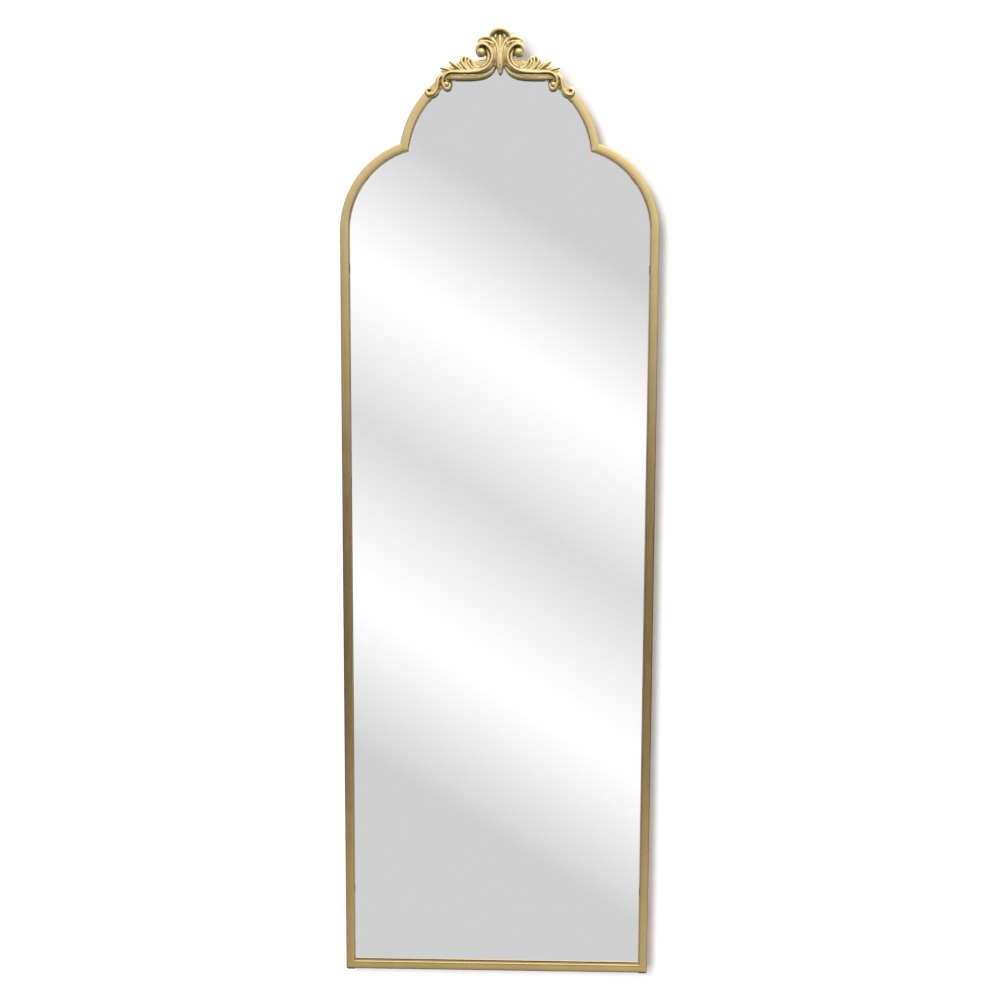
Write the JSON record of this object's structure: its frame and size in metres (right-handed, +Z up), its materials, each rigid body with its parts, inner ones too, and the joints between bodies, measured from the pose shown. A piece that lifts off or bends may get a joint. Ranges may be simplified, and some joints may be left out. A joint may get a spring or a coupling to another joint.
{
  "type": "leaning floor mirror",
  "caption": "Tall floor mirror: an arched, shouldered frame of brass-coloured metal tube with a cast scroll crest, and rings and bumpers on its back.",
  "frame": {"origin": "on the floor, in the middle of the width and of the overall depth", "axes": "+Z up, the mirror faces -Y, +X to the right seen from the front"},
  "size_m": [0.56, 0.049, 1.708],
  "materials": {
    "antique_brass_paint": "satin antique brass paint, brushed, worn lighter on the edges",
    "crest_gilding": "satin pale gold paint over cast resin, darker in the hollows",
    "silvered_glass": "clear polished glass, silvered behind",
    "backing_film": "grey woven safety film",
    "foam_tape": "white foam mounting tape",
    "fibreboard": "raw medium density fibreboard",
    "black_rubber": "matt black rubber",
    "zinc_plate": "bright zinc plate"
  },
  "bodies": {
    "frame": {"left_stile": "antique_brass_paint", "right_stile": "antique_brass_paint", "bottom_rail": "antique_brass_paint", "crown_arch": "antique_brass_paint", "weld_beads": "antique_brass_paint", "mirror_glass": "silvered_glass", "safety_film": "backing_film", "mounting_tape": "foam_tape", "back_board": "fibreboard", "setting_blocks": "black_rubber", "board_tabs": "antique_brass_paint", "tab_screws": "zinc_plate", "restraint_lug": "antique_brass_paint", "crest_ornament": "crest_gilding", "crest_screws": "zinc_plate", "left_hanger_strap": "zinc_plate", "right_hanger_strap": "zinc_plate", "hanger_screws": "zinc_plate", "wall_bumpers": "black_rubber", "foot_pads": "black_rubber"},
    "left_ring": {"left_hanger_ring": "zinc_plate"},
    "right_ring": {"right_hanger_ring": "zinc_plate"}
  },
  "joints": [
    {"name": "left_ring_hinge", "type": "hinge", "parent": "frame", "child": "left_ring", "pos_m": [-0.272, 0.02025, 1.308], "axis": [1, 0, 0], "range_deg": [0, 180]},
    {"name": "right_ring_hinge", "type": "hinge", "parent": "frame", "child": "right_ring", "pos_m": [0.272, 0.02025, 1.308], "axis": [1, 0, 0], "range_deg": [0, 180]}
  ]
}
